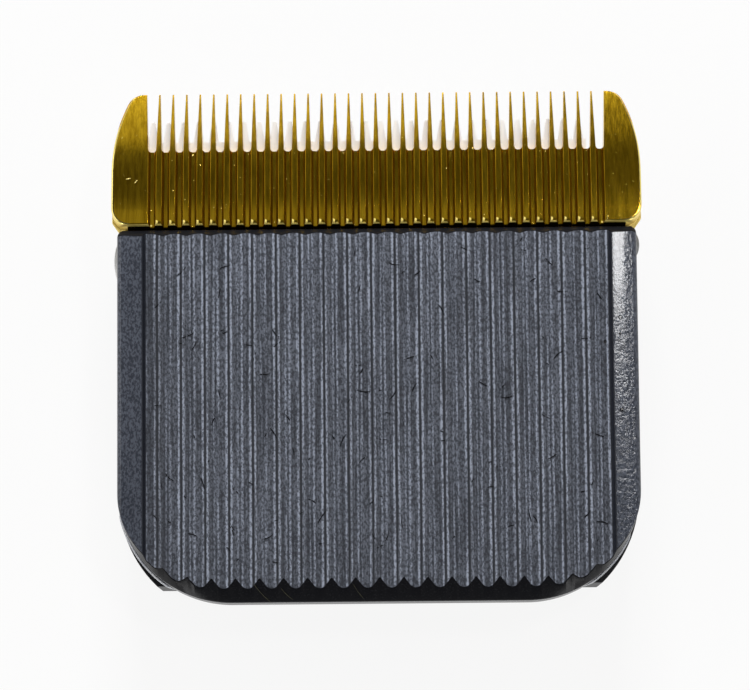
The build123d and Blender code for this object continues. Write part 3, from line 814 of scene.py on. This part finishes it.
def cover_profile():
    """The cover's face across the ribs, from the middle to one side: places and heights."""
    points = []
    for rib in range(ribs_each_side + 1):
        middle = rib * rib_pitch
        for turn in spread(-rib_angle, rib_angle, 9):
            fall = crest_radius * (1 - math.cos(turn))
            points.append((middle + crest_radius * math.sin(turn), crest_z - fall))
        valley = middle + rib_pitch / 2
        last = 0 if rib == ribs_each_side else rib_angle
        for turn in spread(-rib_angle, last, 8):
            rise = valley_radius * (1 - math.cos(turn))
            points.append((valley + valley_radius * math.sin(turn), valley_z + rise))
    step_x = cover_half - margin_width
    round_x = cover_half - margin_round
    edge_z = crest_z - margin_fall
    points = [point for point in points if point[0] >= 0]
    points += [(step_x - 0.04, valley_z), (step_x + 0.03, valley_z + 0.06)]
    points += [(step_x + margin_step - 0.03, crest_z - 0.07), (step_x + margin_step + 0.06, crest_z - 0.006)]
    flat_x = step_x + margin_step
    points += [(flat_x + (round_x - flat_x) * t, crest_z - margin_fall * (0.6 * t + 0.4 * t * t))
               for t in spread(0.1, 1, 8)]
    points += [(round_x + margin_round * math.sin(a), edge_z - margin_round * (1 - math.cos(a)))
               for a in spread(0.15, math.pi / 2, 10)]
    return points


def heel_line(x, half, low, radius):
    """A heel outline: straight at a low edge, with a large round on each side."""
    side = abs(x) - (half - radius)
    if side <= 0:
        return low
    return low + radius - math.sqrt(max(0, radius ** 2 - side ** 2))


def heel_edges(x):
    """Where the heel's bevel starts at the wall, and where it would meet the crests."""
    return (heel_line(x, cover_half, heel_y, heel_radius),
            heel_line(x, cover_half, heel_y + heel_bevel, heel_face_radius))


def top_line(x):
    """The cover's upper outline, with a small round at each shoulder."""
    side = abs(x) - (cover_half - top_corner)
    if side <= 0:
        return cover_top_y
    return cover_top_y - top_corner + math.sqrt(max(0, top_corner ** 2 - side ** 2))


def cover_loop(x, z, pocket):
    """Points round the cover in one plane: upper wall, bevel, rib, heel bevel, wall and pocket."""
    share = (z - bevel_z) / (crest_z - bevel_z)
    top = top_line(x)
    heel, heel_high = heel_edges(x)
    ease = min(1, 2 * (heel_high - heel))
    top_edge = top - top_bevel * share
    heel_edge = heel + (heel_high - heel) * share
    rim = heel
    ceiling = seat_z
    if pocket:
        rim = heel_line(x, cover_half - cover_rim, heel_y + cover_rim, heel_radius - cover_rim)
        ceiling = tail_z
    part = 1 - lip / bevel_face
    foot = heel + heel_draft * ease
    loop = [(top, ceiling), (top, bevel_z - lip), (top - lip * 0.4, bevel_z + lip * 0.6)]
    loop += [(top - top_bevel * share * part, bevel_z + (z - bevel_z) * part), (top_edge - lip, z)]
    loop += [(y, z) for y in spread(top_edge - 0.4, heel_edge + 0.4, 5)]
    loop += [(heel_edge + lip * ease, z), (foot + (heel_edge - foot) * part, bevel_z + (z - bevel_z) * part)]
    loop += [(foot + lip * 0.9 * ease, bevel_z + lip * 0.5), (foot, bevel_z - lip), (heel, seat_z)]
    loop += [(rim, seat_z), (rim, ceiling)]
    return [(x, y, height) for y, height in loop]


def cover_coat(step):
    """Which coat a part of the loop has: greasy at the upper end, dusty on the face, glossy at the heel."""
    if step <= first_face:
        return shaded_coat
    return dusty_coat if step < last_face else glossy_coat


def cover_shell(bm):
    """The whole cover as one skin: loops side by side, closed at both side walls."""
    half = cover_profile()
    inner = cover_half - cover_rim
    outline = [(-x, z) for x, z in reversed(half) if x > 0] + half
    loops = [cover_loop(x, z, abs(x) < inner) for x, z in outline]
    rings = [[bm.verts.new(Vector(point) * mm) for point in loop] for loop in loops]
    for ring, after in zip(rings, rings[1:]):
        for step in range(len(ring)):
            face = bm.faces.new((ring[step - 1], ring[step], after[step], after[step - 1]))
            face.material_index = cover_coat(step)
    for ring in (rings[0], rings[-1]):
        bm.faces.new(ring).material_index = glossy_coat


cover_black = (0.0045, 0.0045, 0.0055, 1)
film_dark = (0.010, 0.0115, 0.0165, 1)
film_light = (0.245, 0.270, 0.330, 1)
# Painted reflections: each stripe's place beside the crest, its half width and its weight; stripes above 0
# are painted highlights, and the one below 0 a painted dark line
painted_reflection_stripes = (
    (-0.78, 0.17, 0.56),
    (-0.555, 0.13, -0.45),
    (-0.33, 0.16, 0.50),
    (0.27, 0.16, 0.28),
    (0.64, 0.18, 0.35),
)
# Each pit's place in or just beside the right margin, and its radius
margin_pits = (
    (22.15, 2.1, 0.20),
    (20.75, -0.1, 0.18),
    (22.15, -6.4, 0.22),
    (22.1, 0.6, 0.13),
    (22.05, 0.0, 0.10),
)
margin_start = cover_half - margin_width
# Where the film is left off the step into each margin, which paints a shade line there
riser_shade_place = 21.34
# A band of painted shade just inside the left margin: its place, and how it fades
left_shade_place = -20.55
left_shade_fade = (2.6, 0.35)
peel_start = (8.0, 2.0)
peel_edge = (22.25, 22.75)


def dusty_plastic():
    """Black nylon under a dried, dusty film from hair, thin on the margins; stripes along each rib are
    painted highlights and shade.
    """
    finish = Finish("dusty_plastic")
    across, along = finish.axes()[:2]
    margin = finish.ramp(abs(across), margin_start - 0.05, margin_start + 0.15)
    turn = finish.node("Math", {"operation": "FRACT"}, {0: across * (1 / rib_pitch) + 0.5})
    from_crest = (turn - 0.5) * rib_pitch
    streak = finish.noise(1.6, (1.5, 0.12, 1.5), detail=4.0)
    scrape = finish.ramp(finish.noise(4.5, (1, 0.02, 1), detail=2.0), 0.36, 0.56)
    # Painted shade: no film on the steep step into each margin
    riser_shade = finish.ramp(abs(abs(across) - riser_shade_place), 0.24, 0.12)
    grain = finish.ramp(finish.noise(6.0, (1, 0.6, 1), detail=2.0), 0.38, 0.62)
    cloud = finish.noise(0.12, detail=2.0)
    film = (0.16 + (cloud - 0.5) * 0.15) * (0.30 + margin * 0.15 + grain * (1.35 - margin * 0.30))
    # Painted reflections: bright stripes are painted highlights on the flanks, the one below 0 a painted dark
    # line
    lines = 0.0
    for place, width, weight in painted_reflection_stripes:
        reflection_stripe = finish.ramp(abs(from_crest - place), width, 0.0)
        lines = lines + reflection_stripe * (streak * 2.2 - 0.1) * weight
    film = film + lines * (0.45 + grain * 1.15) * (1 - margin)
    # Painted shade in a band just inside the left margin
    left_shade = finish.ramp(abs(across - left_shade_place), *left_shade_fade)
    film = film * (1 - left_shade * (1 - margin) * 0.38)
    # The film also gets lighter towards the comb and darker towards the heel
    film = film * (0.50 + margin * 0.50 + scrape * (1 - margin) * 0.80) * (1 - riser_shade) * (1.08 + along * 0.009)
    pits = 0.0
    plan = finish.place((1, 1, 0))
    for x, y, radius in margin_pits:
        distance = finish.node("VectorMath", {"operation": "DISTANCE"}, {0: plan, 1: (x, y, 0)}, 1)
        pits = pits + finish.ramp(distance, radius, 0.6 * radius)
    peel_zone = finish.ramp(along, *peel_start) + finish.ramp(across, *peel_edge)
    peel = finish.noise(2.8, (1, 0.8, 1), detail=3.0) * peel_zone
    return finish.paint({
        "Base Color": finish.mix(pits, finish.mix(film, film_dark, film_light), cover_black),
        "Roughness": 0.56 - margin * 0.44 - grain * (1 - margin) * 0.08,
        "Normal": finish.bump(grain * (0.35 - margin * 0.32) + peel * margin * 0.85 - pits * 3.0, 0.026),
        "Specular IOR Level": 0.3,
    })


def glossy_plastic():
    """The same nylon where the tool was polished: the end bevels and the walls, clean of film."""
    finish = Finish("glossy_plastic")
    grain = finish.noise(6.0, detail=3.0)
    return finish.paint({
        "Base Color": finish.mix(grain * 0.15, cover_black, film_dark),
        "Roughness": 0.20 + grain * 0.12,
        "Normal": finish.bump(grain, 0.006),
        "Specular IOR Level": 0.16,
    })


def shaded_plastic():
    """The same nylon on the upper bevel, dull with grease beside the comb."""
    finish = Finish("shaded_plastic")
    grain = finish.noise(6.0, detail=3.0)
    return finish.paint({
        "Base Color": finish.mix(grain * 0.3, cover_black, film_dark),
        "Roughness": 0.55 + grain * 0.12,
        "Specular IOR Level": 0.04,
    })


cover_bm = bmesh.new()
cover_shell(cover_bm)
bmesh.ops.remove_doubles(cover_bm, verts=cover_bm.verts, dist=1e-7)
bmesh.ops.recalc_face_normals(cover_bm, faces=cover_bm.faces)
cover_coats = (dusty_plastic(), glossy_plastic(), shaded_plastic())
cover = add_piece("cover", settle("cover", cover_bm, cover_coats, 20), "holder")
keep_flat(cover)
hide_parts("front_cover")

# Hair clippings
# Short cut hairs that stick to the ribs and a few longer pale fibres on the heel's bevel, which are loose
# dirt and lie on the set, and a pale ribbon in the seam between the cover's heel corners and the frame, a
# painted highlight.
hair_dark = (0.005, 0.005, 0.006, 1)
hair_pale = (0.085, 0.080, 0.045, 1)
hair_count = 110
hair_points = 8
hair_sides = 5
hair_radius = 0.05
hair_half = 20.5
hair_low_y = -20.0
hair_high_y = 9.3
fibre_radius = 0.028
fibre_bend = 0.35
# The pale ribbon in the heel seams is a painted highlight
seam_highlight_colour = (0.80, 0.80, 0.80, 1)
seam_reach = 0.24
# Each ribbon's side, the angles between which it lies, and the share of the full width that it has
seam_ends = ((-1, 8, 60, 1.0), (1, 22, 60, 0.8))
# Each fibre's start, its angle and its length
fibres = ((-11.5, -21.75, -46, 2.5), (-8.9, -22.35, -42, 1.4), (-2.6, -21.6, -55, 2.0))
# The clippings' material slots
dark_hair, pale_hair, seam_highlight = range(3)


def face_level(x, y):
    """Height of the cover at a place: its ribbed face, or the heel's bevel where that is lower."""
    profile = cover_profile()
    nearest = min(profile, key=lambda point: abs(point[0] - abs(x)))
    heel, heel_high = heel_edges(x)
    return min(nearest[1], bevel_z + (y - heel) / (heel_high - heel) * (crest_z - bevel_z))


def add_hair(bm, start, angle, length, bend, radius, shade):
    """One hair as a thin tapered tube that lies along the cover's face."""
    rings = []
    x, y = start
    for share in spread(0, 1, hair_points):
        heading = math.radians(angle) + bend * (share - 0.5)
        z = min(face_level(x, y) + 0.5 * radius, crest_z - radius)
        thick = radius * (1 - 0.5 * abs(2 * share - 1) ** 3)
        aside = Vector((-math.sin(heading), math.cos(heading), 0))
        ring = []
        for side in range(hair_sides):
            spin = 2 * math.pi * side / hair_sides
            lift = Vector((0, 0, thick * math.sin(spin)))
            point = Vector((x, y, z)) + aside * thick * math.cos(spin) + lift
            ring.append(bm.verts.new(point * mm))
        rings.append(ring)
        x += math.cos(heading) * length / (hair_points - 1)
        y += math.sin(heading) * length / (hair_points - 1)
    for ring, after in zip(rings, rings[1:]):
        for side in range(hair_sides):
            face = bm.faces.new((ring[side - 1], ring[side], after[side], after[side - 1]))
            face.material_index = shade
    for ring in (rings[0], rings[-1]):
        bm.faces.new(ring).material_index = shade


def add_seam(bm, hand, first, last, share):
    """A thin tapered pale ribbon on the frame, along one heel corner of the cover, as a painted highlight."""
    rings = []
    for turn in spread(math.radians(first), math.radians(last), 25):
        taper = min(1, 12 * (turn - math.radians(first)), 12 * (math.radians(last) - turn))
        ring = []
        for reach, z in ((0, seat_z), (0, seat_z + 0.05), (seam_reach * share * taper, seat_z + 0.01)):
            radius = heel_radius + reach
            x = cover_half - heel_radius + radius * math.cos(turn)
            y = heel_y + heel_radius - radius * math.sin(turn)
            ring.append(bm.verts.new(Vector((hand * x, y, z)) * mm))
        rings.append(ring)
    for ring, after in zip(rings, rings[1:]):
        for side in range(3):
            face = bm.faces.new((ring[side - 1], ring[side], after[side], after[side - 1]))
            face.material_index = seam_highlight


def hair(name, colour, tip_colour):
    """Hair, or the seam's painted highlight: a tone that changes a little from place to place."""
    finish = Finish(name)
    tone = finish.noise(0.8, detail=2.0)
    return finish.paint({
        "Base Color": finish.mix(tone, colour, tip_colour),
        "Roughness": 0.4 + tone * 0.2,
        "Specular IOR Level": 0.06,
    })


chance = random.Random(7)
hair_bm = bmesh.new()
for _ in range(hair_count):
    spot = (chance.uniform(-hair_half, hair_half), chance.uniform(hair_low_y, hair_high_y))
    angle = chance.uniform(-80, 80)
    length = chance.uniform(0.3, 1.3)
    bend = chance.uniform(-0.9, 0.9)
    add_hair(hair_bm, spot, angle, length, bend, hair_radius, dark_hair)
for x, y, angle, length in fibres:
    add_hair(hair_bm, (x, y), angle, length, fibre_bend, fibre_radius, pale_hair)
for hand, first, last, share in seam_ends:
    add_seam(hair_bm, hand, first, last, share)
bmesh.ops.recalc_face_normals(hair_bm, faces=hair_bm.faces)
hair_coats = (
    hair("dark_hair", hair_dark, cover_black),
    hair("pale_hair", hair_pale, film_dark),
    hair("seam_highlight", seam_highlight_colour, film_light),
)
add_piece("clippings", settle("clippings", hair_bm, hair_coats, 180), "holder")

# Table
# A plain white sheet that the set lies on. To the camera it is an even white with a soft shadow.
table_white = (0.93, 0.93, 0.93, 1)
table_glow = (0.965, 0.965, 0.963, 1)
glow_share = 0.92
table_size = 3.0


def paper():
    """Matt white paper, seen mostly by its own even white."""
    finish = Finish("paper")
    tooth = finish.noise(0.8, detail=2.0)
    finish.paint({
        "Base Color": table_white,
        "Roughness": 0.9,
        "Normal": finish.bump(tooth, 0.010, 0.2),
    })
    rays = ("Is Camera Ray", "Is Glossy Ray", "Is Transmission Ray")
    seen, mirrored, passed = [finish.node("LightPath", {}, {}, ray) for ray in rays]
    glow = finish.node("Emission", {}, {"Color": table_glow, "Strength": 1.0})
    lit = Shade(finish.tree, finish.surface.outputs[0])
    sheet = finish.node("MixShader", {}, {0: (seen + mirrored + passed) * glow_share, 1: lit, 2: glow})
    fill(finish.tree, finish.tree.nodes["Material Output"].inputs["Surface"], sheet)
    return finish.block


table_mesh = bpy.data.meshes.new("table")
reach = table_size / 2
table_mesh.from_pydata([(-reach, -reach, 0), (reach, -reach, 0), (reach, reach, 0), (-reach, reach, 0)], [],
                       [(0, 1, 2, 3)])
table_mesh.materials.append(paper())
table = bpy.data.objects.new("table", table_mesh)
bpy.context.scene.collection.objects.link(table)

# Studio
# A dim room with pale walls, and soft lamps: a long strip on each side and a low one in front, a lamp that
# shines along the tooth gaps with a dim sheet above it, and overhead a dim sheet and a softbox that the right
# margin mirrors.
wall_white = (1.0, 1.0, 1.0, 1)
ceiling_grey = (0.072, 0.072, 0.077, 1)
wall_fade = (0.22, 0.50)
lamp_aim = Vector((0, 0, 0.01))
room = Finish("room", "worlds", "Background")
rise = room.node("SeparateXYZ", {}, {0: room.node("TexCoord", {}, {}, "Generated")}, "Z")
walls = room.mix(room.ramp(rise, *wall_fade), wall_white, ceiling_grey)
bpy.context.scene.world = room.paint({"Color": walls})
bpy.context.scene.view_settings.view_transform = "Standard"


def lamp(name, spot, along, size, power):
    """A soft oblong lamp, in metres and watts, that faces the set with its first side along a direction."""
    light = bpy.data.lights.new(name, "AREA")
    light.shape = "RECTANGLE"
    light.size, light.size_y = size
    light.energy = power
    item = bpy.data.objects.new(name, light)
    back = (Vector(spot) - lamp_aim).normalized()
    side = (Vector(along) - back * back.dot(Vector(along))).normalized()
    turn = Matrix((side, back.cross(side), back)).transposed()
    item.matrix_world = Matrix.Translation(spot) @ turn.to_4x4()
    bpy.context.scene.collection.objects.link(item)


lamp("left_strip", (-0.52, 0.02, 0.41), (0, 1, 0), (0.80, 0.26), 1.25)
lamp("right_strip", (0.52, 0.02, 0.41), (0, 1, 0), (0.80, 0.26), 0.45)
lamp("gap_lamp", (0.0, 0.60, 0.33), (1, 0, 0), (0.20, 0.12), 5.4)
lamp("back_sheet", (-0.262, 0.50, 0.47), (1, 0, 0), (0.70, 0.32), 0.31)
lamp("front_strip", (0.0, -0.60, 0.19), (1, 0, 0), (0.70, 0.16), 1.8)
lamp("top_sheet", (-0.04, 0.14, 0.60), (1, 0, 0), (0.17, 0.11), 0.012)
lamp("margin_softbox", (0.190, 0.122, 0.61), (1, 0, 0), (0.066, 0.072), 0.58)

# Camera
# It looks down on the set from the heel's side, nearly square on, a little turned as the photograph is.
image_pixels = 750
focus_pixels = 3370
camera_elevation = math.radians(83.0)
camera_distance = 0.309
camera_roll = math.radians(0.52)
camera_aim = Vector((-0.00025, -0.00002, 0.010))
camera = bpy.data.objects.new("camera", bpy.data.cameras.new("camera"))
camera.data.sensor_width = 36
camera.data.lens = camera.data.sensor_width * focus_pixels / image_pixels
camera.data.clip_start = 0.01
back = Vector((0, -math.cos(camera_elevation), math.sin(camera_elevation)))
camera.location = camera_aim + back * camera_distance
camera.rotation_mode = "QUATERNION"
roll = Matrix.Rotation(-camera_roll, 3, "Z").to_quaternion()
camera.rotation_quaternion = (-back).to_track_quat("-Z", "Y") @ roll
bpy.context.scene.collection.objects.link(camera)
bpy.context.scene.camera = camera
